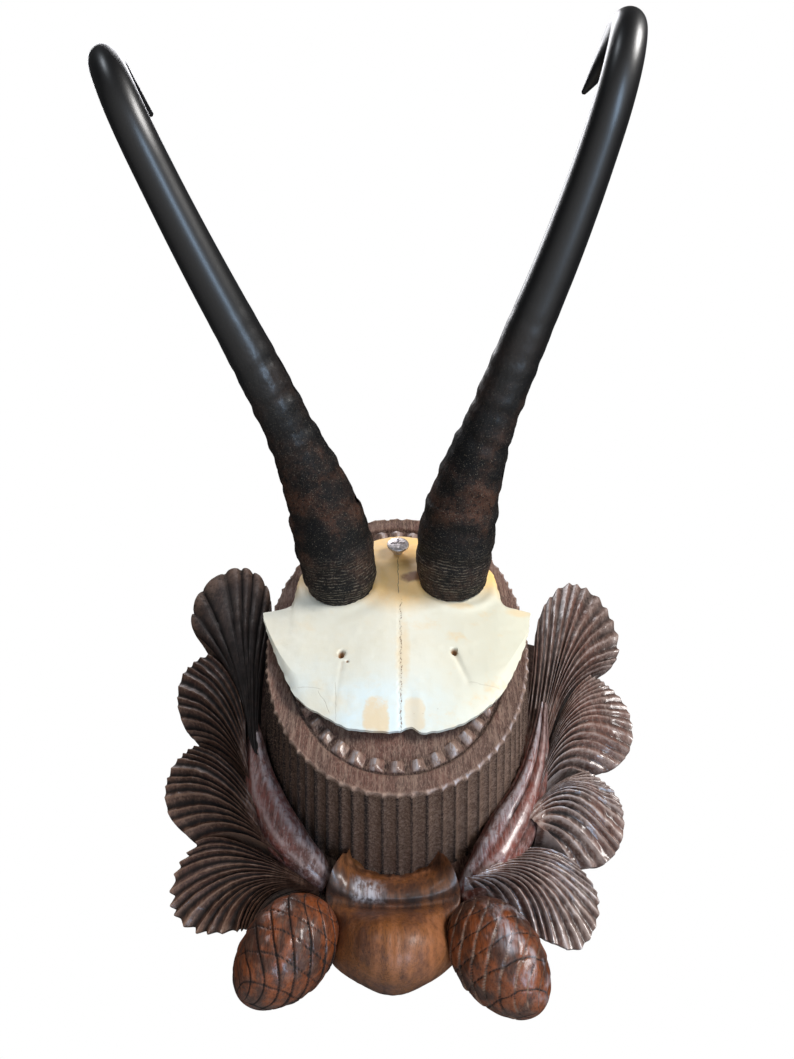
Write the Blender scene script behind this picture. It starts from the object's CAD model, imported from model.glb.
"""Chamois horn trophy: hooked horns on a skull plate, screwed to a carved oak-leaf plaque.

The frame is in metres: +X is the viewer's right, +Y goes into the wall, +Z is up.
Shapes are worked out in millimetres, and put into the meshes in metres. A place function gets
positions on a plain sheet or ball, and gives points and the marks that the finishes read:
relief (0 in cuts, 1 on ridges), rub (worn), shine (varnished), side (the drum's wall), bloom
(pale polish), pit (holes in the bone) and along (0..1 up a horn).
"""
import math
from types import SimpleNamespace as Sizes

import bpy
import numpy as np
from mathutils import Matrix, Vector
from numpy import cos, hypot, maximum, minimum, pi, sin


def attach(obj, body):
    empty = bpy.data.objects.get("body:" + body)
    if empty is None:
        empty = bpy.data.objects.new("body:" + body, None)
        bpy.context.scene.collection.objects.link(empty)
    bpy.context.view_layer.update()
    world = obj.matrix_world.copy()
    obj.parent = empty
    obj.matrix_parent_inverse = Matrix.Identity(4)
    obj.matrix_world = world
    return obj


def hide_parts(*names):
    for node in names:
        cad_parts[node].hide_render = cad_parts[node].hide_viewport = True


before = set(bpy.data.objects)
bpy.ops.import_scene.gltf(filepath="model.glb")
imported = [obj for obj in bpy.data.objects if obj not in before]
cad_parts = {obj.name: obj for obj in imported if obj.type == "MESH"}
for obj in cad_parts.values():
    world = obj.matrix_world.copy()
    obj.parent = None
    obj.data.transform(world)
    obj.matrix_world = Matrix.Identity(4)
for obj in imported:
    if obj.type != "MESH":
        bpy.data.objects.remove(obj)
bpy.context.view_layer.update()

MM = 0.001


# Numbers

def held(value):
    """Keeps a value within 0..1."""
    return np.clip(value, 0.0, 1.0)


def smooth(low, high, value):
    """0 below low, 1 above high, and an even bend between."""
    t = held((value - low) / (high - low))
    return t * t * (3 - 2 * t)


def band(rise, fall, value):
    """Goes up to 1 between the two numbers of rise, and down to 0 between those of fall."""
    return smooth(*rise, value) * (1 - smooth(*fall, value))


def bell(value, width):
    """1 at 0, and softly down to 0 on both sides."""
    return np.exp(-(value / width) ** 2)


def lerp(a, b, t):
    return a + (b - a) * t


def unit(vectors):
    return vectors / np.linalg.norm(vectors, axis=1)[:, None]


def spread(values, t):
    """Straight lines through values that stand evenly over t = 0..1."""
    return np.interp(t * (len(values) - 1), np.arange(len(values)), values)


def spline(points, t):
    """A centripetal curve through the points; t runs 0..1 in equal shares of its spans."""
    points = np.asarray(points, float)
    spans = len(points) - 1
    before = 2 * points[0] - points[1]
    after = 2 * points[-1] - points[-2]
    padded = np.vstack([before, points, after])
    span = minimum((t * spans).astype(int), spans - 1)
    w = (t * spans - span)[:, None]
    a, b, c, d = (padded[span + k] for k in range(4))
    gap = [np.sqrt(np.linalg.norm(q - p, axis=1))[:, None] for p, q in ((a, b), (b, c), (c, d))]
    start = ((b - a) / gap[0] - (c - a) / (gap[0] + gap[1]) + (c - b) / gap[1]) * gap[1]
    end = ((c - b) / gap[1] - (d - b) / (gap[1] + gap[2]) + (d - c) / gap[2]) * gap[1]
    return (
        b + start * w
        + (3 * (c - b) - 2 * start - end) * w ** 2
        + (2 * (b - c) + start + end) * w ** 3
    )


# Odd steps that scatter the corners of the grain; they measure nothing
CORNER_STEPS = np.array([127.1, 311.7, 74.7])
SEED_STEP = 19.3
SCATTER = 43758.5453


def grain(x, y, z, size, seed=0):
    """Soft random bumps of a size in mm, from -1 to 1."""
    spot = np.stack(np.broadcast_arrays(x, y, z), axis=-1) / size
    corner = np.floor(spot)
    part = spot - corner
    part = part * part * (3 - 2 * part)
    total = np.zeros(spot.shape[:-1])
    sides = 1 - part, part
    for i, j, k in np.ndindex(2, 2, 2):
        value = sin((corner + (i, j, k)) @ CORNER_STEPS + seed * SEED_STEP) * SCATTER
        weight = sides[i][..., 0] * sides[j][..., 1] * sides[k][..., 2]
        total += weight * (2 * (value - np.floor(value)) - 1)
    return total


def in_front(x, height, z):
    """Points at a height in front of the wall."""
    return np.stack([x, -height, z], axis=1)


# Meshes

MERGE_DISTANCE = 2e-6


def deselect():
    bpy.ops.object.select_all(action="DESELECT")


def select(piece):
    deselect()
    piece.select_set(True)
    bpy.context.view_layer.objects.active = piece


def clean_mesh(piece, merge, close, angle):
    """Merges the seam, closes open ends, turns the faces outwards and smooths them."""
    select(piece)
    bpy.ops.object.mode_set(mode="EDIT")
    bpy.ops.mesh.select_mode(type="VERT")
    bpy.ops.mesh.select_all(action="SELECT")
    if merge:
        bpy.ops.mesh.remove_doubles(threshold=MERGE_DISTANCE)
    if close:
        bpy.ops.mesh.select_all(action="SELECT")
        bpy.ops.mesh.fill_holes(sides=0)
    bpy.ops.mesh.select_all(action="SELECT")
    bpy.ops.mesh.normals_make_consistent(inside=False)
    bpy.ops.object.mode_set(mode="OBJECT")
    bpy.ops.object.shade_smooth_by_angle(angle=math.radians(angle))


def reshape(name, place, flat, merge, angle):
    """Names the new primitive, moves its vertices, and keeps a number at each for the finish."""
    piece = bpy.context.object
    piece.name = piece.data.name = name
    old = np.empty(len(piece.data.vertices) * 3)
    piece.data.vertices.foreach_get("co", old)
    old = old.reshape(-1, 3)
    points, marks = place(*(held(old[:, :2] + 0.5) if flat else old).T)
    piece.data.vertices.foreach_set("co", (points * MM).ravel())
    piece.data.update()
    for mark, values in marks.items():
        attribute = piece.data.attributes.new(mark, "FLOAT", "POINT")
        attribute.data.foreach_set("value", np.asarray(values, dtype=np.float32))
    clean_mesh(piece, merge, flat, angle)
    return piece


def sheet(name, columns, rows, place, merge=False, angle=50):
    """A subdivided plane bent by place(u, v), where u and v run 0..1."""
    deselect()
    bpy.ops.mesh.primitive_grid_add(x_subdivisions=columns, y_subdivisions=rows, size=1.0)
    return reshape(name, place, True, merge, angle)


def round_body(name, columns, rows, place):
    """A ball reshaped by place(x, y, z), which gets points of the unit ball."""
    deselect()
    bpy.ops.mesh.primitive_uv_sphere_add(segments=columns, ring_count=rows, radius=1.0)
    return reshape(name, place, False, False, 60)


def cut_out(piece, cutter):
    """Cuts the shape of the cutter out of the piece, and puts the cutter away."""
    cut = piece.modifiers.new("cut", "BOOLEAN")
    cut.operation = "DIFFERENCE"
    cut.solver = "EXACT"
    cut.object = cutter
    select(piece)
    bpy.ops.object.modifier_apply(modifier=cut.name)
    bpy.data.objects.remove(cutter)


def stands_for(piece, node):
    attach(piece, "root")
    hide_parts(node)
    return piece


# Finishes

def operator(name, swapped=False):
    def apply(*values):
        return values[0].sum(name, *(reversed(values) if swapped else values))

    return apply


class Wire:
    """What comes out of a node, so that shader sums read as sums."""

    def __init__(self, finish, socket):
        self.finish = finish
        self.socket = socket

    def sum(self, operation, *values):
        return self.finish.node("ShaderNodeMath", {"operation": operation}, dict(enumerate(values)))

    __add__ = __radd__ = operator("ADD")
    __sub__ = operator("SUBTRACT")
    __rsub__ = operator("SUBTRACT", swapped=True)
    __mul__ = __rmul__ = operator("MULTIPLY")
    __truediv__ = operator("DIVIDE")
    __rtruediv__ = operator("DIVIDE", swapped=True)
    __pow__ = operator("POWER")
    __abs__ = operator("ABSOLUTE")

    def rise(self, low, high, start=0.0, end=1.0):
        """Goes smoothly from start to end as this goes from low to high."""
        settings = {"interpolation_type": "SMOOTHSTEP", "clamp": True}
        inputs = {
            "Value": self, "From Min": low, "From Max": high, "To Min": start, "To Max": end,
        }
        return self.finish.node("ShaderNodeMapRange", settings, inputs)


class Finish:
    """A material and its nodes."""

    def __init__(self, name, **constants):
        self.material = bpy.data.materials.new(name)
        self.material.use_nodes = True
        self.nodes = self.material.node_tree.nodes
        self.links = self.material.node_tree.links
        self.shader = self.nodes["Principled BSDF"]
        self.colour = None
        self.set(**constants)

    def plug(self, socket, value):
        if isinstance(value, Wire):
            self.links.new(value.socket, socket)
        elif isinstance(value, tuple) and socket.type == "RGBA":
            socket.default_value = (*value, 1.0)
        else:
            socket.default_value = value

    def node(self, kind, settings, inputs, output=0):
        made = self.nodes.new(kind)
        for name, value in settings.items():
            setattr(made, name, value)
        for name, value in inputs.items():
            self.plug(made.inputs[name], value)
        return Wire(self, made.outputs[output])

    def place(self):
        return self.node("ShaderNodeTexCoord", {}, {}, "Object")

    def axes(self):
        """The place on the object in millimetres, as three numbers."""
        split = self.node("ShaderNodeSeparateXYZ", {}, {0: self.place()}).socket.node
        return [Wire(self, split.outputs[i]) * 1000 for i in range(3)]

    def noise(self, scale, detail=3.0, rough=0.5, stretch=None):
        """Soft random patches; scale is how many fit into a metre."""
        place = self.place()
        if stretch:
            settings = {"operation": "MULTIPLY"}
            place = self.node("ShaderNodeVectorMath", settings, {0: place, 1: stretch})
        inputs = {"Vector": place, "Scale": scale, "Detail": detail, "Roughness": rough}
        return self.node("ShaderNodeTexNoise", {}, inputs)

    def cells(self, scale):
        inputs = {"Vector": self.place(), "Scale": scale}
        return self.node("ShaderNodeTexVoronoi", {}, inputs, "Distance")

    def mark(self, name):
        settings = {"attribute_name": name, "attribute_type": "GEOMETRY"}
        return self.node("ShaderNodeAttribute", settings, {}, "Fac")

    def mix(self, factor, a, b):
        made = self.nodes.new("ShaderNodeMix")
        made.data_type = "RGBA"
        for index, value in ((0, factor), (6, a), (7, b)):
            self.plug(made.inputs[index], value)
        return Wire(self, made.outputs[2])

    def paint(self, factor, shade):
        """Lays a shade over the colour that the material has so far."""
        self.colour = self.mix(factor, self.colour, shade)

    def bump(self, height, strength, distance):
        inputs = {"Height": height, "Strength": strength, "Distance": distance}
        return self.node("ShaderNodeBump", {}, inputs)

    def set(self, **values):
        for socket, value in values.items():
            self.plug(self.shader.inputs[socket.replace("_", " ")], value)


def dress(piece, finish):
    piece.data.materials.clear()
    piece.data.materials.append(finish.material)


# Stained and waxed walnut. deep fills the cuts, worn is on the ridges, and red is in patches,
# of which mottle fit into a metre. streak is how far the fibres show, coat how much varnish lies
# on the wood and gloss how rough that is, matt how rough the wood is, fuzz how much dust lies on
# it, dark the relief between which the cuts fade out, and wall the colour of the drum's wall.
DARK = (0.004, 0.002, 0.0015)
WOODS = {
    "left_leaf_walnut": dict(
        deep=DARK, body=(0.050, 0.021, 0.012), worn=(0.20, 0.116, 0.078),
        red=(0.062, 0.026, 0.018), coat=0.2,
    ),
    "right_leaf_walnut": dict(
        deep=DARK, body=(0.082, 0.040, 0.028), worn=(0.36, 0.27, 0.23),
        red=(0.125, 0.050, 0.033), coat=0.9, dark=(0.12, 0.62),
    ),
    "face_walnut": dict(
        deep=(0.006, 0.003, 0.003), body=(0.096, 0.051, 0.038), worn=(0.35, 0.235, 0.175),
        red=(0.120, 0.053, 0.038), matt=0.6, coat=0.05, fuzz=0.5,
        wall=(0.084, 0.045, 0.027),
    ),
    "stem_walnut": dict(
        deep=(0.008, 0.004, 0.003), body=(0.105, 0.044, 0.034), worn=(0.38, 0.28, 0.26),
        red=(0.190, 0.052, 0.036), streak=0.5, matt=0.42, coat=0.6,
    ),
    "pendant_walnut": dict(
        deep=(0.010, 0.006, 0.005), body=(0.095, 0.036, 0.018), worn=(0.32, 0.120, 0.048),
        red=(0.190, 0.066, 0.018), streak=0.3, matt=0.4, coat=0.3, mottle=90, gloss=0.34,
    ),
    "fruit_walnut": dict(
        deep=(0.006, 0.003, 0.002), body=(0.054, 0.018, 0.009), worn=(0.30, 0.180, 0.120),
        red=(0.185, 0.044, 0.010), streak=0.12, matt=0.36, coat=0.4, mottle=150,
    ),
}
POLISH = (0.48, 0.47, 0.51)


def wood(name, deep, body, worn, red, coat, streak=0.4, matt=0.46, fuzz=0.0, wall=None, mottle=60,
         gloss=0.18, dark=(0.06, 0.5)):
    finish = Finish(name, Coat_Roughness=gloss, Coat_IOR=1.5, Specular_IOR_Level=0.3)
    noise, mark, paint = finish.noise, finish.mark, finish.paint
    relief = mark("relief")
    rub = mark("rub")
    fibres = noise(900, 4, 0.6, (1, 1, 0.08))
    strokes = noise(2600, 3, 0.65, (1, 1, 0.14))
    patches = noise(mottle, 4, 0.65, (1, 1, 0.5))
    spots = noise(420, 5, 0.7)
    finish.colour = finish.mix(patches.rise(0.42, 0.6), body, red)
    if wall:
        paint(mark("side") * 0.9, wall)
    paint(fibres.rise(0.45, 0.66) * streak, worn)
    paint(strokes.rise(0.5, 0.62, 0.0, 0.5), deep)
    ridge = (relief + spots * 0.5 - 0.25).rise(0.55, 0.9, 0.0, 0.85)
    paint(ridge, worn)
    cut = (relief + spots * 0.3 - 0.15).rise(*dark, 0.96, 0.0)
    paint(cut, deep)
    paint(rub * spots.rise(0.3, 0.55), worn)
    polish = mark("bloom") * fibres.rise(0.36, 0.6, 0.15, 1.0) * spots.rise(0.3, 0.5)
    paint(polish, POLISH)
    rough = matt + strokes * 0.2 + cut * 0.3 - ridge * 0.1
    height = strokes * 0.45 + fibres * 0.6 + spots * 0.5
    if fuzz:
        pile = noise(1500, 5, 0.75, (1.6, 1, 0.45))
        paint(pile.rise(0.46, 0.68, 0.0, fuzz), worn)
        height = height + pile * 1.6
    varnish = (1 - cut) * (spots.rise(0.3, 0.6, 0.4, 1.0) * coat) + mark("shine") * 0.7
    normal = finish.bump(height, 0.5, 0.00035)
    finish.set(Base_Color=finish.colour, Roughness=rough, Coat_Weight=varnish, Normal=normal)
    return finish


# Camera, light and floor

# Each light: place, what it points at, width and height, watts, colour
LIGHTS = {
    "key": ((0.5, -0.62, 0.06), (0, -0.05, -0.02), (0.2, 0.34), 6.5, (1.0, 0.98, 0.96)),
    "window": ((-0.3, -0.68, 0.12), (0, -0.03, -0.05), (0.07, 0.16), 0.5, (0.85, 0.92, 1.0)),
    "sky": ((-0.2, -0.24, 0.72), (0, -0.05, -0.03), (0.55, 0.3), 3.1, (0.96, 0.96, 1.0)),
    "below": ((0.2, -0.33, -0.405), (-0.06, -0.17, 0.03), (0.26, 0.13), 1.7, (0.5, 0.72, 1.0)),
}
# Colour and strength of what lights the object from all round, and of what the camera sees
WORLD = (((0.92, 0.96, 1.0), 0.05), ((1.0, 1.0, 1.0), 1.0))
FLOOR = Sizes(size=6.0, place=(0, -1.0, -0.42), glow=0.12)
CAMERA = Sizes(place=(0.0, -0.257, -0.2069), tilt=142.0, sensor=36.0, photo=(795.0, 1059.0))


def studio():
    scene = bpy.context.scene
    scene.view_settings.view_transform = "Standard"
    world = bpy.data.worlds.new("studio")
    scene.world = world
    world.use_nodes = True
    nodes, links = world.node_tree.nodes, world.node_tree.links
    nodes.clear()
    path = nodes.new("ShaderNodeLightPath")
    mix = nodes.new("ShaderNodeMixShader")
    links.new(path.outputs["Is Camera Ray"], mix.inputs[0])
    for number, (colour, strength) in enumerate(WORLD):
        shade = nodes.new("ShaderNodeBackground")
        shade.inputs["Color"].default_value = (*colour, 1.0)
        shade.inputs["Strength"].default_value = strength
        links.new(shade.outputs[0], mix.inputs[number + 1])
    out = nodes.new("ShaderNodeOutputWorld")
    links.new(mix.outputs[0], out.inputs["Surface"])

    for name, (place, aim, size, power, colour) in LIGHTS.items():
        lamp = bpy.data.lights.new(name, "AREA")
        lamp.shape = "RECTANGLE"
        lamp.size, lamp.size_y = size
        lamp.energy = power
        lamp.color = colour
        made = bpy.data.objects.new(name, lamp)
        made.location = place
        made.rotation_euler = (Vector(aim) - Vector(place)).to_track_quat("-Z", "Y").to_euler()
        scene.collection.objects.link(made)

    deselect()
    bpy.ops.mesh.primitive_plane_add(size=FLOOR.size, location=FLOOR.place)
    floor = bpy.context.object
    floor.name = "floor"
    paint = Finish(
        "floor_paint", Roughness=0.9, Emission_Color=(1.0, 1.0, 1.0),
        Emission_Strength=FLOOR.glow,
    )
    paint.set(Base_Color=paint.mix(paint.noise(3.0), (0.78, 0.77, 0.75), (0.82, 0.81, 0.79)))
    dress(floor, paint)

    lens = bpy.data.cameras.new("camera")
    lens.sensor_width = CAMERA.sensor
    width, height = CAMERA.photo
    lens.lens = CAMERA.sensor * width / height
    lens.clip_start = 0.01
    camera = bpy.data.objects.new("camera", lens)
    camera.location = CAMERA.place
    camera.rotation_euler = (math.radians(CAMERA.tilt), 0.0, 0.0)
    scene.collection.objects.link(camera)
    scene.camera = camera


# Drum. Insets are from its outline inwards, heights are from the wall.

DRUM = Sizes(
    half_width=47.5, half_height=68.8, squareness=2.08, height=48.0, draft=4.5, columns=960,
)
FLUTES = Sizes(
    count=80, depth=1.2, roundness=0.8, wander=0.1, end=8.5, end_arch=1.6, end_uneven=0.5,
    run_out=1.5, shallower=0.35, shallower_at=(44, 47.5),
)
BEADS = Sizes(
    count=46, inset=11.0, step=7.9, depth=1.2, radius=2.35, rise=1.45, uneven=0.1,
    groove=((7.0, 8.4), (13.8, 20)), line=8.25, line_width=0.7, gap_width=2.6,
)
NAIL_HOLE = Sizes(z=50.0, radius=4.0, depth=10.0)


def oval(turn, inset):
    """The drum's outline, shrunk by inset; turn runs 0..1 clockwise from the top."""
    power = 2 / DRUM.squareness
    sine, cosine = sin(2 * pi * turn), cos(2 * pi * turn)
    x = (DRUM.half_width - inset) * np.sign(sine) * np.abs(sine) ** power
    z = (DRUM.half_height - inset) * np.sign(cosine) * np.abs(cosine) ** power
    return x, z


def oval_lengths(inset):
    """Turns, how far round the outline each has come, 0..1, and the outline's length."""
    turns = np.linspace(0, 1, 4001)
    x, z = oval(turns, inset)
    run = np.concatenate([[0], np.cumsum(hypot(np.diff(x), np.diff(z)))])
    return turns, run / run[-1], run[-1]


def drum_profile():
    """Insets and heights up the side and over the face, close together where it is carved."""
    height = DRUM.height
    heights = [0, 3.5, 6.5, *np.linspace(7.5, 12.5, 11), *np.linspace(15, 45, 14), 46.2, 47.0]
    side = [(-DRUM.draft * (1 - h / height), h) for h in heights]
    edge = [(-0.03, 47.5), (0.15, 47.8), (0.45, 47.95)]
    insets = [*np.linspace(0.9, 7.2, 12), *np.linspace(7.6, 14.5, 30), *np.linspace(15.2, 30, 12)]
    return np.array(side + edge + [(inset, height) for inset in insets])


def drum():
    profile = drum_profile()
    turns, run, _ = oval_lengths(0.0)
    bead_turns, bead_run, bead_length = oval_lengths(BEADS.inset)

    def place(u, v):
        inset, height = (spread(column, v) for column in profile.T)
        turn = np.interp(u, run, turns)

        flute = FLUTES.count * u
        number = flute // 1
        wander = FLUTES.wander * sin(flute * 2.4) * sin(flute * 0.7)
        share = (flute + wander) % 1.0
        hollow = sin(pi * share) ** FLUTES.roundness
        bottom = FLUTES.end + FLUTES.end_arch * (2 * share - 1) ** 2
        bottom = bottom + FLUTES.end_uneven * sin(number * 2.9)
        reach = smooth(bottom, bottom + FLUTES.run_out, height)
        reach = reach * (1 - FLUTES.shallower * smooth(*FLUTES.shallower_at, height))
        onto_face = 1 - smooth(0.1, 1.2 + 0.5 * sin(number * 4.1), inset)
        cut = hollow * reach * np.where(inset > 0, onto_face, 1.0)
        uneven = 0.9 + 0.05 * grain(number, 0, height, 9, 4)
        inset = inset + FLUTES.depth * uneven * cut
        x, z = oval(turn, inset)

        groove = band(*BEADS.groove, inset)
        along = np.interp(turn, bead_turns, bead_run) * BEADS.count
        nearest = np.round(along)
        size = 1 + BEADS.uneven * sin(nearest * 5.1)
        radius = BEADS.radius * size
        aside = np.abs(along - nearest) * bead_length / BEADS.count / radius
        out = np.abs(inset - BEADS.inset) / radius
        knob = held(1.08 - aside ** 1.1) * held(1 - out ** 3) ** 0.5 * size
        line = bell(inset - BEADS.line, BEADS.line_width)
        gouge = groove * (BEADS.depth - BEADS.rise * knob) + 0.15 * line * (knob < 0.05)

        edge = smooth(46.4, 47.6, height) * (1 - smooth(0.3, 1.6, inset))
        chips = edge * held(grain(x, 0, z, 2.0, 3) - 0.1)
        waves = 0.25 * grain(x, 0, z, 14, 5) + 0.16 * grain(x, 0, z, 3.5, 6) - 0.3
        waves = waves * smooth(0.5, 3.0, inset) * (1 - groove)
        shift = 1 - 0.9 * chips / hypot(x, z)
        points = in_front(x * shift, height - gouge - 0.8 * chips + waves, z * shift)

        on_wall = 1 - smooth(45.8, 47.8, height)
        gap = bell(inset - BEADS.inset, BEADS.gap_width) * (knob < 0.02)
        bead = knob * groove
        face = 0.5 - 0.08 * groove * (1 - knob) - 0.22 * gap + 0.25 * bead - 0.16 * line
        arris = 1 - smooth(0.0, 0.22, minimum(share, 1 - share))
        wall = 0.66 + lerp(0.4, 0.12, smooth(-10, 10, x)) * x / DRUM.half_width
        wall = wall - 0.12 * cut - 0.55 * arris - 0.3 * (1 - reach)
        lit_side = smooth(-0.02, 0.05, along - nearest)
        lit_edge = edge * smooth(0, 22, x) * smooth(0.2, 0.8, share)
        return points, {
            "relief": held(lerp(face, wall, on_wall)),
            "rub": held(edge * (0.4 + 0.9 * share) + bead * (0.2 + 0.9 * lit_side)),
            "shine": bead,
            "bloom": held(0.9 * bead * lit_side + 0.8 * lit_edge),
            "side": on_wall,
        }

    made = sheet("drum", DRUM.columns, len(profile) - 1, place, merge=True)
    deselect()
    bpy.ops.mesh.primitive_cylinder_add(
        vertices=40, radius=NAIL_HOLE.radius * MM, depth=2 * NAIL_HOLE.depth * MM,
        location=(0, 0, NAIL_HOLE.z * MM), rotation=(math.pi / 2, 0, 0),
    )
    cut_out(made, bpy.context.object)
    return made


# Leaves. The ribs of a lobe leave its root line, pass the bend line and end on the edge, as x, z.
# ribs is how many, and dense how much closer they stand where the lines begin. crest is where
# across the lobe it is highest, and fold by how much. depth is that of the grooves before and
# after the crest, and scallop how far the ribs reach past the edge. reed is how round the ribs
# are near the root and near the edge. forks is how far out pairs of ribs have parted, fade how
# soon the grooves are deep, sunk how low the root lies, tone how pale and bloom how polished
# the wood is.
LOBE = dict(forks=0.2, fade=1.0, sunk=0.0, bloom=0.0)

# What the lobes of a leaf have in common, with heights of their roots and of their two ends
LEAVES = {
    "left": dict(
        heights=(21, 12, 11), ribs=12, crest=0.45, fold=3, reed=(0, 0.1), scallop=0.4, tone=0.92,
    ),
    "right": dict(
        heights=(22, 13, 9), ribs=15, dense=0.4, crest=0.55, fold=5, reed=(0.1, 0.35),
        depth=(1.9, 3.4), tone=1.15,
    ),
}

LEFT_LOBES = [
    dict(
        root=[(-49, -34.5), (-51.5, -31.5), (-54, -25.5)],
        bend=[(-56, 2), (-63, 15), (-62, 7.5)],
        edge=[
            (-55, 46), (-58, 60), (-64, 71), (-73, 76.5), (-83, 71.5), (-90, 58), (-88.5, 38),
            (-76, 23.5),
        ],
        ribs=9, dense=0.0, crest=0.5, fold=2.5, reed=(0.5, 1.0), depth=(2.4, 1.8), scallop=1.8,
        tone=0.22,
    ),
    dict(
        root=[(-55, -25.5), (-51, -43), (-48.5, -48.5)],
        bend=[(-60, 8), (-66.5, -6.5), (-60.5, -27)],
        edge=[(-76, 24), (-83, 18.5), (-87, 9), (-85.5, -5), (-80, -16), (-73.5, -22)],
        dense=0.15, depth=(1.8, 2.1), tone=0.9,
    ),
    dict(
        root=[(-48.5, -50), (-44, -64), (-36, -72.5)],
        bend=[(-60, -28.5), (-63, -38.5), (-54.5, -54.5)],
        edge=[(-73.5, -22), (-79, -28), (-82, -39), (-78.5, -52), (-67, -62)],
        dense=0.1, depth=(1.8, 2.0),
    ),
    dict(
        root=[(-27, -81), (-25, -82.5), (-24, -83)],
        bend=[(-57, -57.5), (-50, -74), (-30.5, -82)],
        edge=[
            (-67, -62), (-71.5, -72), (-70, -85), (-61, -92), (-49, -91.5), (-45.5, -90),
            (-41.5, -83.5), (-35, -81),
        ],
        ribs=20, dense=-0.1, crest=0.5, fold=2.5, depth=(1.6, 2.2), scallop=2.4,
    ),
]

RIGHT_LOBES = [
    dict(
        root=[(38.5, -47), (43, -52), (47, -50), (49, -46)],
        bend=[(51, -12), (59, -2), (64, 18), (63, 1.5)],
        edge=[
            (59, 33), (63, 46), (69.5, 57), (78, 65), (87, 61.5), (93.5, 48), (94, 27), (88.5, 17),
            (78.5, 13),
        ],
        ribs=17, dense=-0.35, crest=0.6, fold=4, reed=(0.05, 0.3), depth=(2.6, 3.2), scallop=2.6,
        sunk=6, forks=0.5, fade=0.5, tone=0.95, bloom=0.5,
    ),
    dict(
        root=[(50.5, -40), (48, -48.5), (46.5, -53.5)],
        bend=[(63, -3.5), (64, -6), (58.5, -28.5)],
        edge=[(78.5, 11), (84, 4), (89, -8), (87, -24), (80, -32), (69, -33.5)],
        depth=(1.9, 3.2), scallop=1.2, tone=1.0, bloom=0.7,
    ),
    dict(
        root=[(45.5, -55), (43.5, -58.5), (46, -62)],
        bend=[(56, -39.5), (60, -39), (54.5, -62)],
        edge=[(69, -35), (75, -42), (77.5, -51), (74.5, -63), (68.5, -69), (58, -69.5)],
        scallop=1.3, bloom=1.3,
    ),
    dict(
        root=[(32, -74.5), (25, -79), (21, -80)],
        bend=[(47, -61), (46.5, -73), (25, -80.5)],
        edge=[
            (59, -71), (63, -80), (61.5, -89), (54, -98), (46, -95.5), (41, -92), (33.5, -85),
            (27, -80),
        ],
        ribs=16, dense=0.3, reed=(0.1, 0.3), scallop=2.0, bloom=1.2,
    ),
]

# Shares of a lobe's sheet that turn down at its sides and its edge, how far the underside is
# drawn back, and how much of the turn is the lip
RIM = Sizes(side=0.025, edge=0.14, undercut=0.21, lip=0.28, lip_drop=1.5)


def lobe(name, shape, number):
    """One lobe of a leaf, with ribs and grooves, an undercut edge and a flat back."""
    root_height, edge_height, end_height = shape.heights
    back = 0.2 + 0.12 * number

    def place(u, v):
        side, lip = RIM.side, RIM.edge
        across = held((u - side) / (1 - 2 * side))
        along = held(v / (1 - lip))
        out = held(maximum(side - u, u - 1 + side) / side)
        drop = maximum(out, held((v - 1 + lip) / lip))
        tuck = held((drop - RIM.lip) / (1 - RIM.lip))

        wobble = 0.16 * sin(across * shape.ribs * 1.7 + number) + 0.06 * sin(along * 9)
        rib = across * (1 + shape.dense * (1 - across)) * shape.ribs
        rib = rib + wobble * sin(pi * across)
        which = rib // 1
        from_groove = 2 * (rib % 1.0) - 1
        channel = np.abs(from_groove) ** 1.5
        reed = np.sqrt(held(1 - from_groove ** 2))
        profile = lerp(channel, reed, lerp(*shape.reed, smooth(0.35, 0.75, along)))
        paired = 0.2 + 0.8 * np.abs(rib % 2.0 - 1) ** 0.8
        profile = lerp(paired, profile, smooth(0.4 * shape.forks, shape.forks, along))
        crest = shape.crest
        depth = lerp(*shape.depth, smooth(crest - 0.1, crest + 0.15, across))
        depth = depth * np.clip(3 * along * shape.fade, 0.2, 1)
        depth = depth * (0.8 + 0.25 * sin(which * 2.3 + number))

        start, bend, end = (spline(line, across) for line in (shape.root, shape.bend, shape.edge))
        tooth = shape.scallop * (profile - 0.75) * (0.85 + 0.3 * sin(which * 1.9))
        end = end + unit(end - bend) * tooth[:, None]
        reach = (along * (1 - RIM.undercut * tuck ** 0.7))[:, None]
        x, z = (start * (1 - reach) ** 2 + 2 * bend * reach * (1 - reach) + end * reach ** 2).T

        edge = lerp(edge_height, end_height, across ** 2)
        root = root_height - shape.sunk * (1 - smooth(0.0, 0.3, along))
        bow = np.where(across < crest, across / crest, (1 - across) / (1 - crest))
        arch = shape.fold * sin(pi / 2 * bow) * sin(pi * minimum(along, 0.85))
        fine = 0.12 * grain(x, 0, z, 1.6, number) + 0.2 * grain(x, 0, z, 5, number + 7)
        knife = 0.16 * sin(along * 46 + which * 2.1) * grain(which * 3, 0, along * 12, 1, number)
        top = lerp(root, edge, along ** 0.8) + arch - depth * (1 - profile) + fine + knife
        top = top - RIM.lip_drop * held(drop / RIM.lip) ** 2
        points = in_front(x, lerp(top, back, tuck), z)

        relief = held(profile + 0.4 * knife) * (1 - 0.8 * tuck)
        relief = lerp(0.6, relief, held(along * 3.5 * shape.fade)) * shape.tone
        patches = held(0.45 + grain(x, 0, z, 9, number + 3))
        return points, {
            "relief": held(relief),
            "rub": 0.4 * smooth(0.88, 1.0, along) * (1 - tuck) * profile,
            "bloom": shape.bloom * smooth(0.6, 0.95, profile) * (1 - tuck) * patches,
        }

    return sheet(name, int(shape.ribs * 12), 60, place)


# Stems. radii and heights stand evenly along the path; lit is the side that the polish is on.

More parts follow.
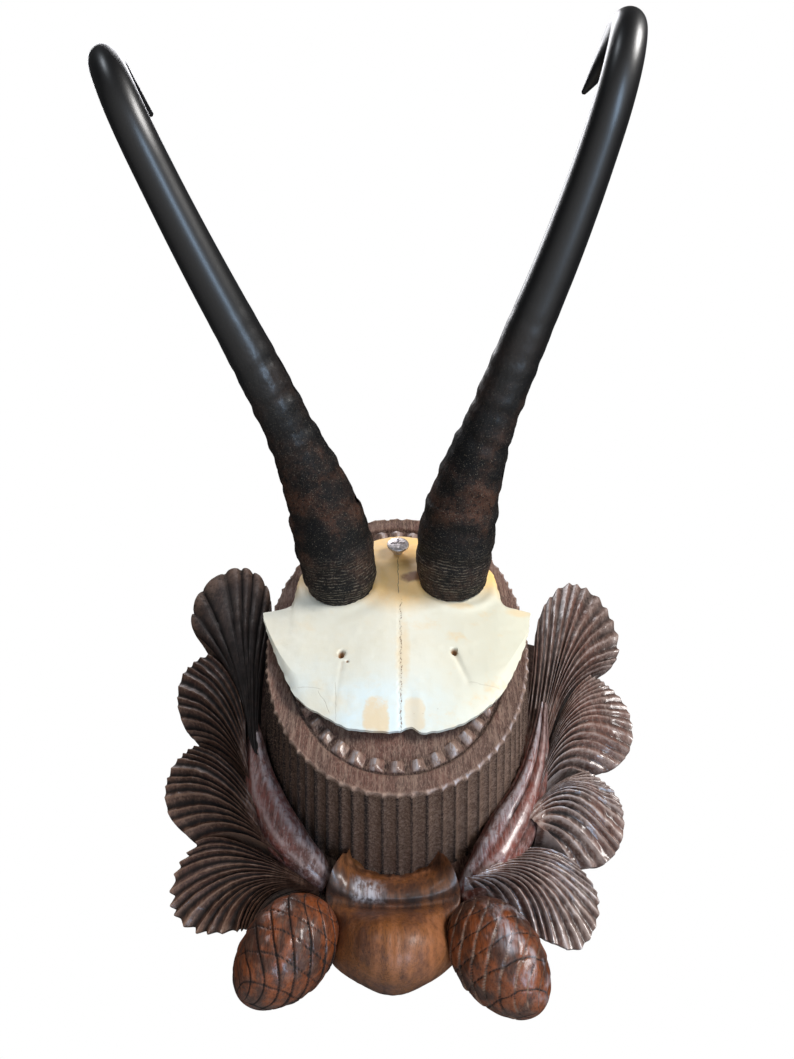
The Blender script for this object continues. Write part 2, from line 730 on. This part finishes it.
STEMS = {
    "left_stem": Sizes(
        path=[(-21.5, -76), (-27, -72.5), (-36, -64), (-46, -46.5), (-51.5, -27), (-55, -10)],
        radii=(3.4, 5.6, 6.6, 5.8, 3.4, 0.8), heights=(10, 14, 16.5, 16.5, 16.5, 16), veins=0.5,
        lit=-1, polish=0.3,
    ),
    "right_stem": Sizes(
        path=[(20, -80.5), (24.5, -77), (31, -71), (38, -60), (45, -47), (50, -33), (55, -12)],
        radii=(3.4, 5.6, 7.8, 7.6, 6, 4.4, 1.4), heights=(9, 13, 15.5, 16, 17, 19.5, 21.5),
        veins=1.0, lit=1, polish=0.5,
    ),
}


def stem(name, shape):
    """A bar along a path in front of the wall, with veins on its front."""
    def place(u, v):
        step = 1e-3
        path = shape.path
        ahead = spline(path, minimum(v + step, 1)) - spline(path, maximum(v - step, 0))
        ahead = unit(ahead)
        angle = 2 * pi * u
        facing = held(sin(angle))
        wave = np.abs(sin(angle * 3.5 + 0.9 * v))
        vein = shape.veins * (0.35 + 0.65 * smooth(0.1, 0.6, v)) * facing * (1 - wave ** 0.6)
        fine = 0.1 * sin(angle * 23 + 5 * v) * facing + 0.12 * grain(angle * 4, 0, v * 14, 1, 3)
        radius = spread(shape.radii, v) * (1 - 0.05 * sin(9 * v)) - 1.2 * vein + fine * 0.6
        aside = np.stack([ahead[:, 1], -ahead[:, 0]], axis=1)
        x, z = (spline(path, v) + aside * (radius * cos(angle))[:, None]).T
        height = spread(shape.heights, v) + radius * sin(angle)
        return in_front(x, height, z), {
            "relief": 0.66 - 0.55 * vein - 0.4 * (1 - facing),
            "rub": 0.6 * facing * wave ** 8,
            "bloom": shape.polish * smooth(0.5, 1.0, sin(angle - 0.5 * shape.lit) ** 5),
        }

    return sheet(name, 72, 150, place, merge=True)


# The pendant from its rim against the drum's wall down to its tip: height and z in the middle,
# height and z at the sides, half width. Where it changes is given in stations, counted from 0.
PENDANT = Sizes(
    middle=-1.2, wrap=0.2, waist=-92.0, back=0.15, rim=((0.8, 1.1), (1.9, 2.4)),
    roll=((2.2, 2.8), (4.2, 4.9)), hollow=(5.2, 0.95), bulb=(6, 7.5), tip=(10.2, 12.5),
    stations=[
        (8.4, -68, 16.5, -64, 13), (8.6, -71.6, 18, -69.4, 14.8), (10.6, -73.8, 19.2, -70.9, 16.2),
        (14.2, -79.8, 19.8, -75, 18.6), (14.5, -82.6, 17.5, -77.8, 20),
        (12.6, -84.6, 14.5, -80.2, 21), (15.8, -87.4, 12.5, -83.4, 20.8),
        (21.5, -91.4, 10.8, -88.8, 17.9), (26.6, -96.8, 9.5, -95, 18),
        (27.4, -101.2, 8, -98.6, 18.4), (25.5, -106.2, 6.5, -100.8, 16),
        (21.2, -109.6, 5, -103, 11.6), (14, -110, 3, -104.8, 6), (4, -106.6, 2, -105.4, 2),
    ],
)


def pendant():
    """A rim that hugs the drum, a ledge, a roll, a hollow and a round bulb, all in one."""
    def place(u, v):
        row = v * (len(PENDANT.stations) - 1)
        middle_height, middle_z, side_height, side_z, width = spline(PENDANT.stations, v).T
        aside = 2 * u - 1
        core = held(np.abs(aside) / (1 - PENDANT.wrap))
        turned = held((np.abs(aside) - 1 + PENDANT.wrap) / PENDANT.wrap)
        bow = cos(pi / 2 * core)
        out = np.sign(aside) * width * sin(pi / 2 * core)
        x = PENDANT.middle + out * (1 - 0.25 * turned)
        z = lerp(side_z, middle_z, bow)
        z = z + 0.4 * turned * maximum(0, PENDANT.waist - z)
        rim = band(*PENDANT.rim, row)
        roll = band(*PENDANT.roll, row)
        hollow_at, hollow_width = PENDANT.hollow
        hollow = bell(row - hollow_at, hollow_width)
        bulb = smooth(*PENDANT.bulb, row)
        fine = 0.12 * grain(x, 0, z * 0.15, 1.3, 2) + 0.2 * grain(x, 0, z * 0.4, 5, 6)
        ragged = rim * 0.45 * grain(x, 0, 0, 1.6, 5)
        height = lerp(side_height, middle_height, bow) + fine - ragged
        height = maximum(lerp(height, PENDANT.back, turned ** 0.8), PENDANT.back)

        shade = 0.62 - 0.36 * hollow - 0.3 * rim + 0.12 * grain(x, 0, z * 0.1, 1.2, 9)
        shade = shade - 0.22 * bulb * (1 - smooth(-16, -6, x))
        shade = shade - 0.3 * smooth(*PENDANT.tip, row)
        lit = 0.9 * bulb * smooth(-3, 14, x) * (1 - smooth(10.5, 12, row))
        streaks = 0.5 + 0.5 * grain(x, 0, z * 0.06, 0.7, 11)
        worn = rim * (0.4 + 0.5 * grain(x, 0, z, 1.5, 8))
        return in_front(x, height, z), {
            "relief": held(shade - 0.6 * turned - 0.3 * roll),
            "rub": held(worn + lit * streaks),
            "shine": 1.4 * roll,
            "bloom": roll * band((-15.5, -12), (-8, -2), x) * (0.6 + 0.4 * streaks),
        }

    return sheet("pendant", 160, 160, place)


# Each cone has two sets of cuts: how many cross a turn round it, how many its length, and half
# the width and the depth of each cut as shares
CONES = {
    "left_cone": Sizes(
        centre=(-32.6, -16.0, -99.2), length=35.0, radius=12.9, lean=40.0,
        cuts=((9, 6.6, 0.042, 1.0), (4, -5.6, 0.028, 0.9)), dusty=0.0,
    ),
    "right_cone": Sizes(
        centre=(29.7, -16.0, -100.8), length=36.0, radius=12.8, lean=-34.0,
        cuts=((-9, 7.5, 0.042, 1.0), (-3, -6.0, 0.028, 0.9)), dusty=1.0,
    ),
}


def cone(name, shape):
    """A spruce cone: lozenge scales between two sets of cuts that wind opposite ways."""
    lean = math.radians(shape.lean)
    cx, cy, cz = shape.centre

    def place(x, y, z):
        turn = np.arctan2(-y, x) / (2 * pi)
        down = (1 - z) / 2
        cuts, shares, gaps = [], [], []
        for number, (around, along, width, depth) in enumerate(shape.cuts):
            bent = 0.16 * sin(7 * down + number) + 0.1 * grain(x * 3, y * 3, z * 3, 1, number)
            at = around * turn + along * down + bent
            gap = np.abs(at - np.round(at))
            width = width * (1 + 0.4 * grain(x * 9, y * 9, z * 9, 1, 5))
            cuts.append(bell(gap, width) * depth)
            shares.append(at % 1.0)
            gaps.append(gap)
        groove = held(cuts[0] + cuts[1])
        swell = (4 * gaps[0] * gaps[1]) ** 0.5
        ends = 1 - smooth(0.88, 1.0, np.abs(z))
        fine = 0.14 * grain(x * 14, y * 14, z * 18, 2.0, 4) + 0.2 * grain(x * 9, y * 9, z * 9, 3, 7)
        radius = shape.radius * (1 + 0.08 * z) + fine
        radius = radius + ends * (0.1 * swell - 0.36 * groove + 0.5 * (shares[0] - 0.5))
        across, length = radius * x, shape.length / 2 * z
        points = in_front(
            cx + across * math.cos(lean) + length * math.sin(lean),
            -radius * 0.95 * y - cy,
            cz + length * math.cos(lean) - across * math.sin(lean),
        )
        dust = cuts[0] * held(0.6 + 1.2 * grain(x * 7, y * 7, z * 7, 1, 6))
        lit = 0.9 * smooth(0.2, 0.8, x - 0.5 * y - 0.2 * z)
        return points, {
            "relief": held(0.42 + 0.15 * swell + 0.3 * fine - 0.45 * groove),
            "rub": held(shape.dusty * dust),
            "bloom": shape.dusty * held(lit * (0.1 + grain(x * 5, y * 5, z * 5, 1, 3))),
        }

    return round_body(name, 210, 140, place)


# The plain board that the leaves grow from: its outline, and shares of it at heights
BACKING = Sizes(
    middle=(0.0, -40.0),
    outline=[
        (-62, 20), (-63, -6), (-57, -36), (-44, -66), (-34, -84), (-21, -93), (-12, -68),
        (10, -68), (19, -94), (28, -86), (42, -68), (53, -40), (60, -12), (61, 30), (44, 36),
        (0, 30), (-62, 20),
    ],
    profile=[(0.985, 0.12), (1.0, 0.5), (1.0, 8.2), (0.99, 8.8), (0.97, 9.0)],
)


def backing():
    outline = np.array(BACKING.outline, float)

    def place(u, v):
        scale, height = (spread(column, v) for column in np.array(BACKING.profile).T)
        x, z = (
            middle + (spread(line, u) - middle) * scale
            for line, middle in zip(outline.T, BACKING.middle)
        )
        return in_front(x, height, z), {"relief": np.full_like(u, 0.3)}

    return sheet("backing", 12 * (len(outline) - 1), 12, place, merge=True)


# Skull plate

PLATE = Sizes(
    back=48.3, thickness=4.4, dome=2.4, dome_reach=(50, 75), rim_thickness=1.6, rim_lift=1.9,
    rim_width=0.22, turned=0.035,
)

PLATE_TOP = [
    (-49.6, 5.6), (-44, 7), (-39.5, 9.5), (-38.6, 16), (-37, 27), (-30, 35.5), (-20, 42),
    (-10.6, 47.5), (-1, 51), (9, 49.5), (20, 44), (30, 37), (37, 28), (38.6, 17), (40, 10),
    (44.5, 7.5), (49.2, 5.6),
]

PLATE_BOTTOM = [
    (-49.6, 5.2), (-47.2, -3), (-39.8, -21.5), (-32.3, -35.5), (-24.3, -41.5), (-16.2, -46.5),
    (-7, -47.8), (0.6, -47.8), (4.4, -46.2), (7.5, -48.2), (14.9, -47.2), (21.6, -44.7),
    (28.7, -39.4), (35.3, -32), (43.8, -14.6), (47.1, -5), (49.2, 5.2),
]

# Holes for the nerves over the eyes: x, z, half width, half height, depth
PITS = [
    (-19.2, -17.3, 1.1, 1.9, 2.2),
    (-17.0, -20.8, 0.5, 0.6, 1.0),
    (19.8, -15.9, 1.1, 1.5, 2.2),
]

# Shallow grooves that run down from them: start, end, half width, depth
FURROWS = [
    ((19.9, -16.5), (23.8, -29.6), 1.0, 0.9),
    ((-18.5, -21.0), (-20.5, -39.0), 0.7, 0.25),
]

# The suture's groove, and the burr of bone round each horn's foot
SUTURE = Sizes(x=0.7, width=0.35, depth=0.18, top=(11, 7))
BURR = Sizes(x=22.3, z=20.6, radius=15.5, width=2.2, height=0.7)


def plate_front(x, z):
    across, up = PLATE.dome_reach
    dome = PLATE.dome * maximum(0, 1 - (x / across) ** 2 - (z / up) ** 2)
    return PLATE.back + PLATE.thickness + dome


def near_line(x, z, start, end):
    """Distance from a straight line between two points, and how far along it, 0..1."""
    ax, az = start
    dx, dz = end[0] - ax, end[1] - az
    along = held(((x - ax) * dx + (z - az) * dz) / (dx * dx + dz * dz))
    return hypot(x - ax - along * dx, z - az - along * dz), along


def skull_plate():
    def place(u, v):
        lip = PLATE.turned
        across, up = (held((at - lip) / (1 - 2 * lip)) for at in (u, v))
        out, over = (held(maximum(lip - at, at - 1 + lip) / lip) for at in (u, v))
        drop = maximum(out, over)
        bottom = spline(PLATE_BOTTOM, across)
        x, z = (bottom + (spline(PLATE_TOP, across) - bottom) * up[:, None]).T
        nearest = minimum(minimum(across, 1 - across), minimum(up, 1 - up))
        inside = sin(pi / 2 * minimum(1, nearest / PLATE.rim_width))
        rim_back = PLATE.back + PLATE.rim_lift
        front = lerp(rim_back + PLATE.rim_thickness, plate_front(x, z), inside)
        pit = np.zeros_like(x)
        for px, pz, wide, high, depth in PITS:
            hole = 1 - smooth(0.5, 1.25, hypot((x - px) / wide, (z - pz) / high))
            front = front - depth * hole
            pit = maximum(pit, hole)
        for start, end, wide, depth in FURROWS:
            away, along = near_line(x, z, start, end)
            dip = bell(away, wide) * (1 - 0.7 * along)
            front = front - depth * dip
            pit = maximum(pit, 0.35 * dip * (1 - along))
        seam = x - SUTURE.x - 0.25 * sin(z * 1.9) - 0.2 * sin(z * 4.3)
        front = front - SUTURE.depth * bell(seam, SUTURE.width) * smooth(*SUTURE.top, z)
        front = front + 0.22 * grain(x, 0, z, 11, 2) + 0.06 * grain(x, 0, z, 2.4, 8)
        for side in (-1, 1):
            away = hypot(x - side * BURR.x, z - BURR.z) - BURR.radius
            front = front + BURR.height * bell(away, BURR.width)
        ragged = 0.25 * grain(x, 0, z, 1.3, 9) * (1 - smooth(0, 0.05, nearest))
        shrink = 1 + (ragged - 0.5 * drop) / maximum(hypot(x, z), 10)
        height = lerp(rim_back, front, held((1 - drop) * 1.15) ** 0.6)
        return in_front(x * shrink, height, z * shrink), {"pit": pit}

    return sheet("skull_plate", 250, 250, place)


# Horns. Shares of the length, 0..1, come with _at. The foot is moved by x and z; hook is its
# radius and turn how far it bends round. Turns, leans and tilts are in degrees.

HORN = Sizes(
    lean_at=(0, 0.25, 0.5, 0.72, 0.84, 1),
    diameter_at=(0, 0.02, 0.05, 0.09, 0.16, 0.3, 0.5, 0.68, 0.8, 0.9, 0.97, 1),
    diameter=(24.4, 26.6, 27.8, 28.6, 26, 18, 14.3, 12, 10.9, 9.4, 5, 1.4),
    foot_at=0.2, seat=1.5, hook=20.8, hook_ease=0.1, hook_stretch=1.08, steps=600, softened=31,
    ring_pitch=1.25, ring_height=0.1, rings_at=(0.06, 0.15), bulge_pitches=(11, 6.3),
    rough_at=(0.25, 0.55), collar_at=(0.150, 0.156), collar=0.5,
)

HORNS = {
    "horn_left": Sizes(
        side=-1, base=(-22.3, 20), foot=(1.2, -2.2), shaft=157, tilt=(9.5, 4), turn=155,
        lean=(2, 20.5, 23.5, 20, 23.5, -35), seed=3,
    ),
    "horn_right": Sizes(
        side=1, base=(22.3, 21.4), foot=(-1, -1.6), shaft=161, tilt=(11.5, 5), turn=162,
        lean=(-3, 17.5, 18.5, 12.5, 11, -31), seed=8,
    ),
}


def horn_path(shape):
    """Centres and directions up the horn, found in short straight steps that turn as they go."""
    turn = math.radians(shape.turn)
    hook_length = turn * HORN.hook * HORN.hook_stretch
    length = shape.shaft + hook_length
    s = np.linspace(0, 1, HORN.steps + 1)
    hook = held((s * length - shape.shaft) / hook_length)
    tilt = np.radians(lerp(*shape.tilt, minimum(1, s * length / shape.shaft)))
    tilt = tilt + turn * (hook - HORN.hook_ease * sin(2 * pi * hook))
    lean = np.radians(np.interp(s, HORN.lean_at, shape.lean))
    direction = np.stack([
        shape.side * sin(lean), -cos(lean) * cos(tilt), cos(lean) * sin(tilt),
    ], axis=1)
    middle = unit(direction[1:] + direction[:-1]) * length / HORN.steps
    x, z = shape.base
    start = np.array([x, HORN.seat - plate_front(x, z), z])
    centre = start + np.vstack([np.zeros(3), np.cumsum(middle, axis=0)])
    drawn = 1 - smooth(0, HORN.foot_at, s)
    centre[:, 0] += shape.foot[0] * drawn
    centre[:, 2] += shape.foot[1] * drawn
    return s, centre, direction, length


def horn_radii(s_at):
    """Radii up the horn, softened, and rounded off over the last steps."""
    radii = np.interp(s_at, HORN.diameter_at, HORN.diameter) / 2
    kernel = np.hanning(HORN.softened)
    half = HORN.softened // 2
    beyond = 2 * radii[-1] - radii[-half - 1:-1][::-1]
    padded = np.concatenate([np.full(half, radii[0]), radii, beyond])
    radii = np.convolve(padded, kernel / kernel.sum(), "valid")
    radii[-20:] = minimum(radii[-20:], 3.2 * np.sqrt(np.linspace(1, 0, 20)) + 0.02)
    return radii


def horn(name, shape):
    s_at, centre_at, direction_at, length = horn_path(shape)
    radii = horn_radii(s_at)
    seed = shape.seed

    def place(u, s):
        centre, ahead = (
            np.stack([np.interp(s, s_at, column) for column in table.T], axis=1)
            for table in (centre_at, direction_at)
        )
        ahead = unit(ahead)
        across = unit(np.array([1.0, 0, 0]) - ahead * ahead[:, :1])
        up = np.cross(across, ahead)
        angle = 2 * pi * u
        run = s * length
        round_x, round_z = 14 * cos(angle), 14 * sin(angle)
        warp = 1.3 * grain(round_x, run * 0.2, round_z, 9, seed)
        warp += 0.5 * grain(round_x, run * 0.6, round_z, 3, seed + 1)
        ringed = 1 - smooth(*HORN.rings_at, s)
        rings = sin((run + warp) * 2 * pi / HORN.ring_pitch)
        rings = rings * (0.6 + 0.4 * sin(run * 1.9)) * HORN.ring_height
        broken = 0.5 + 0.5 * grain(round_x, run, round_z, 5, seed + 2)
        long, short = HORN.bulge_pitches
        bulges = sin((run + 2.5 * warp) * 2 * pi / long + seed)
        bulges = bulges + 0.6 * sin((run + warp) * 2 * pi / short + 1.4)
        low = 1 - smooth(*HORN.rough_at, s)
        fibre = grain(angle * 12, run * 0.12, 0, 0.8, seed + 4)
        speckle = grain(round_x * 1.4, run * 1.2, round_z * 1.4, 1.1, seed + 5)
        collar = smooth(*HORN.collar_at, s + 0.004 * sin(angle * 2 + seed))
        foot = 1 - smooth(0.0, 0.012, s)
        radius = np.interp(s, s_at, radii) + ringed * broken * rings
        radius = radius + low * (0.24 * bulges + 0.08 * fibre + 0.12 * speckle)
        radius = radius - HORN.collar * collar * low
        radius = radius * (1 - 0.05 * foot) + 0.3 * foot * speckle
        points = centre + across * (radius * cos(angle))[:, None]
        points = points + up * (radius * sin(angle))[:, None]
        return points, {"along": s}

    return sheet(name, 96, 560, place, merge=True, angle=70)


# Screw

SCREW = Sizes(
    x=0.4, z=38.0, head=4.3, thick=0.9, cone=2.6, shank=1.9, length=22.0, proud=1.6, seat=1.4,
    slot=1.1, slot_depth=1.8, crease=35,
)


def screw():
    """A countersunk screw with a cross slot; the part under the bone is plain."""
    head, shank, slot, tip = SCREW.head, SCREW.shank, SCREW.slot, -SCREW.length
    edge = SCREW.proud
    front = edge + SCREW.thick
    profile = np.array([
        (0.02, tip), (shank * 0.6, tip + 1.5), (shank, tip + 3), (shank, edge - SCREW.cone),
        (head * 0.98, edge), (head, edge + 0.15), (head, front - 0.2), (head * 0.96, front),
        (head * 0.8, front + 0.2), (head * 0.6, front + 0.35), (head * 0.3, front + 0.46),
        (0.02, front + 0.5),
    ])
    seat = plate_front(SCREW.x, SCREW.z) + SCREW.seat

    def place(u, v):
        radius, height = (spread(column, v) for column in profile.T)
        angle = 2 * pi * u
        x, z = SCREW.x + radius * cos(angle), SCREW.z + radius * sin(angle)
        return in_front(x, seat + height, z), {}

    made = sheet("screw", 96, 55, place, merge=True, angle=SCREW.crease)
    for wide, high in ((head * 1.3, slot), (slot, head * 1.3)):
        deselect()
        bpy.ops.mesh.primitive_cube_add(size=1.0)
        cutter = bpy.context.object
        cutter.scale = (wide * MM, SCREW.slot_depth * MM, high * MM)
        cutter.location = (SCREW.x * MM, -(seat + front + 0.5) * MM, SCREW.z * MM)
        bpy.ops.object.transform_apply(location=True, rotation=True, scale=True)
        cut_out(made, cutter)
    bpy.ops.object.shade_smooth_by_angle(angle=math.radians(SCREW.crease))
    return made


# Finishes of bone, horn and steel

BONE = dict(
    cream=(0.69, 0.665, 0.56), cool=(0.63, 0.72, 0.735), yellowed=(0.57, 0.545, 0.40),
    amber=(0.97, 0.60, 0.19), cloud=(0.66, 0.60, 0.45), tan=(0.72, 0.48, 0.20),
    stain=(0.80, 0.47, 0.17), brown=(0.16, 0.07, 0.03), dried=(0.22, 0.08, 0.03),
    hole=(0.22, 0.10, 0.035),
)

# Stains: x, z, half width, half height, strength, colour, and how square they are
STAINS = [
    (-6.8, -42.5, 4.2, 6.5, 0.6, "tan", 4),
    (5.6, -41.5, 3.4, 6.0, 0.4, "tan", 4),
    (1.9, -17.0, 2.4, 15.0, 0.4, "tan", 2),
    (23.5, 6.0, 4.5, 1.8, 0.4, "tan", 2),
    (45.0, 5.0, 5.0, 2.2, 0.4, "tan", 2),
    (-1.0, 27.0, 17.0, 15.0, 0.6, "stain", 2),
    (6.0, 22.0, 4.0, 2.6, 0.9, "dried", 2),
]

# Hairline cracks: x and z of the start and of the end, half width, strength
CRACKS = [
    (0.4, 34.5, 0.4, 12.0, 0.22, 0.8),
    (23.8, -29.6, 35.5, -31.5, 0.3, 0.16),
    (-33.0, -31.0, -24.0, -32.5, 0.25, 0.2),
    (-26.0, -33.0, -21.5, -42.0, 0.22, 0.25),
    (-20.5, -30.0, -19.5, -45.0, 0.22, 0.2),
]


def bone_finish():
    finish = Finish("bone", Specular_IOR_Level=0.4, Subsurface_Weight=0.0)
    noise, mark, paint = finish.noise, finish.mark, finish.paint
    x, _, z = finish.axes()
    broad = noise(28, 4, 0.6)
    fine = noise(900, 4, 0.7)
    fibres = noise(420, 4, 0.6, (1, 1, 0.12))
    low = z.rise(-12.0, -42.0) * x.rise(30.0, -10.0, 0.35, 1.0)
    finish.colour = finish.mix(low * broad.rise(0.25, 0.6), BONE["cream"], BONE["cool"])
    paint(x.rise(0.0, 46.0, 0.0, 0.6), BONE["yellowed"])
    up = (z + broad * 20 - 7 - abs(x) * 0.3).rise(0.0, 20.0)
    paint(up * 0.95, BONE["amber"])
    blotches = noise(75, 5, 0.65).rise(0.54, 0.7, 0.0, 0.5)
    cloudy = noise(120, 6, 0.75).rise(0.4, 0.66, 0.0, 0.3)
    paint(cloudy, BONE["cloud"])
    paint(blotches * x.rise(-10.0, 30.0, 0.35, 1.0), BONE["tan"])

    blur = (noise(190, 5, 0.7) - 0.5) * 3.2
    for cx, cz, wide, high, strength, shade, square in STAINS:
        away = (abs(x - cx) / wide) ** square + (abs(z - cz) / high) ** square + blur
        inside = away.rise(2.4 - square * 0.25, -0.3 + square * 0.15, 0.0, strength)
        paint(inside, BONE[shade])

    wave = noise(600, 3, 0.6, (0.2, 0.2, 1)) * 2.2
    dots = noise(1300, 2, 0.5).rise(0.4, 0.6)
    suture = abs(x - 0.2 - wave).rise(0.28, 0.08) * z.rise(12.0, 6.0) * dots
    paint(suture * 0.85, BONE["brown"])

    height = fine * 0.35 + fibres * 0.5 - suture * 2.0
    for x0, z0, x1, z1, width, strength in CRACKS:
        length = math.hypot(x1 - x0, z1 - z0)
        ux, uz = (x1 - x0) / length, (z1 - z0) / length
        along = (x - x0) * ux + (z - z0) * uz
        shake = (noise(260, 3, 0.6) - 0.5) * 1.6
        away = abs((x - x0) * -uz + (z - z0) * ux + shake)
        inside = along.rise(-0.6, 0.6) * along.rise(length, length - 2.0)
        line = away.rise(width, width * 0.25) * inside * strength
        paint(line, BONE["brown"])
        height = height - line * 1.5

    paint(mark("pit").rise(0.05, 0.8), BONE["hole"])
    specks = finish.cells(260).rise(0.07, 0.03, 0.0, 0.5)
    paint(specks * noise(30).rise(0.5, 0.7), BONE["brown"])
    normal = finish.bump(height, 0.35, 0.0003)
    finish.set(Base_Color=finish.colour, Roughness=0.42 + fine * 0.2, Normal=normal)
    return finish


def horn_finish():
    finish = Finish("horn", Coat_Roughness=0.33, Coat_IOR=1.5, Specular_IOR_Level=0.2)
    noise, mark, paint = finish.noise, finish.mark, finish.paint
    along = mark("along")
    broad = noise(60, 4, 0.6)
    speckle = noise(2300, 4, 0.75)
    coarse = noise(800, 4, 0.7)
    fibres = noise(1500, 4, 0.65, (1, 0.1, 1))
    low = along.rise(0.5, 0.22)
    foot = along.rise(0.115, 0.05)
    run = along * 222.0 + noise(70, 3, 0.6) * 3.2 + noise(500, 2, 0.6) * 0.5
    wave = finish.node("ShaderNodeMath", {"operation": "SINE"}, {0: run * 5.2})
    rings = wave.rise(0.3, 0.95) * noise(420, 6, 0.8).rise(0.45, 0.6) * foot * 0.5
    black = (0.0025, 0.0022, 0.0024)
    brown = (0.042, 0.022, 0.015)
    rust = (0.13, 0.045, 0.020)
    pale = (0.30, 0.25, 0.19)
    finish.colour = finish.mix(broad.rise(0.4, 0.66) * low, black, brown)
    patch = along.rise(0.07, 0.11) * along.rise(0.32, 0.2) * broad.rise(0.5, 0.62)
    paint(patch * coarse.rise(0.42, 0.58) * 0.8, rust)
    paint(coarse.rise(0.46, 0.6, 0.0, 0.9) * low, black)
    paint(speckle.rise(0.58, 0.7, 0.0, 0.8) * low, pale)
    paint(rings, pale)
    gloss = along.rise(0.22, 0.5)
    height = fibres * (low + 0.25) * 0.5 + speckle * 0.8 * low + coarse * (low + 0.12)
    height = height + broad * 0.3 + rings
    finish.set(
        Base_Color=finish.colour,
        Roughness=0.6 - gloss * 0.22 + speckle * 0.1,
        Coat_Weight=gloss * 0.95,
        Normal=finish.bump(height, 0.6, 0.0005),
    )
    return finish


def steel_finish():
    finish = Finish("steel", Metallic=1.0)
    dull = finish.noise(1200, 4, 0.7)
    scratch = finish.noise(3000, 2, 0.5, (1, 1, 0.06))
    finish.colour = finish.mix(dull.rise(0.4, 0.65), (0.80, 0.74, 0.74), (0.45, 0.41, 0.40))
    normal = finish.bump(scratch + dull, 0.25, 0.0002)
    finish.set(Base_Color=finish.colour, Roughness=0.3 + dull * 0.25, Normal=normal)
    return finish


# Assembly

studio()

woods = {name: wood(name, **recipe) for name, recipe in WOODS.items()}
plaque = [(drum(), "face_walnut"), (backing(), "face_walnut")]
for side, lobes in (("left", LEFT_LOBES), ("right", RIGHT_LOBES)):
    for number, shape in enumerate(lobes):
        made = lobe(f"{side}_lobe_{number + 1}", Sizes(**LOBE | LEAVES[side] | shape), number)
        plaque.append((made, f"{side}_leaf_walnut"))
plaque += [(stem(name, shape), "stem_walnut") for name, shape in STEMS.items()]
plaque.append((pendant(), "pendant_walnut"))
plaque += [(cone(name, shape), "fruit_walnut") for name, shape in CONES.items()]
for piece, finish in plaque:
    dress(piece, woods[finish])
    stands_for(piece, "carved_plaque")

bone = stands_for(skull_plate(), "skull_plate")
bone.name = bone.data.name = "bone_plate"
dress(bone, bone_finish())

horn_surface = horn_finish()
for name, shape in HORNS.items():
    made = horn("trophy_" + name, shape)
    dress(made, horn_surface)
    stands_for(made, name)

made = screw()
made.name = made.data.name = "plate_screw"
dress(made, steel_finish())
stands_for(made, "screw")
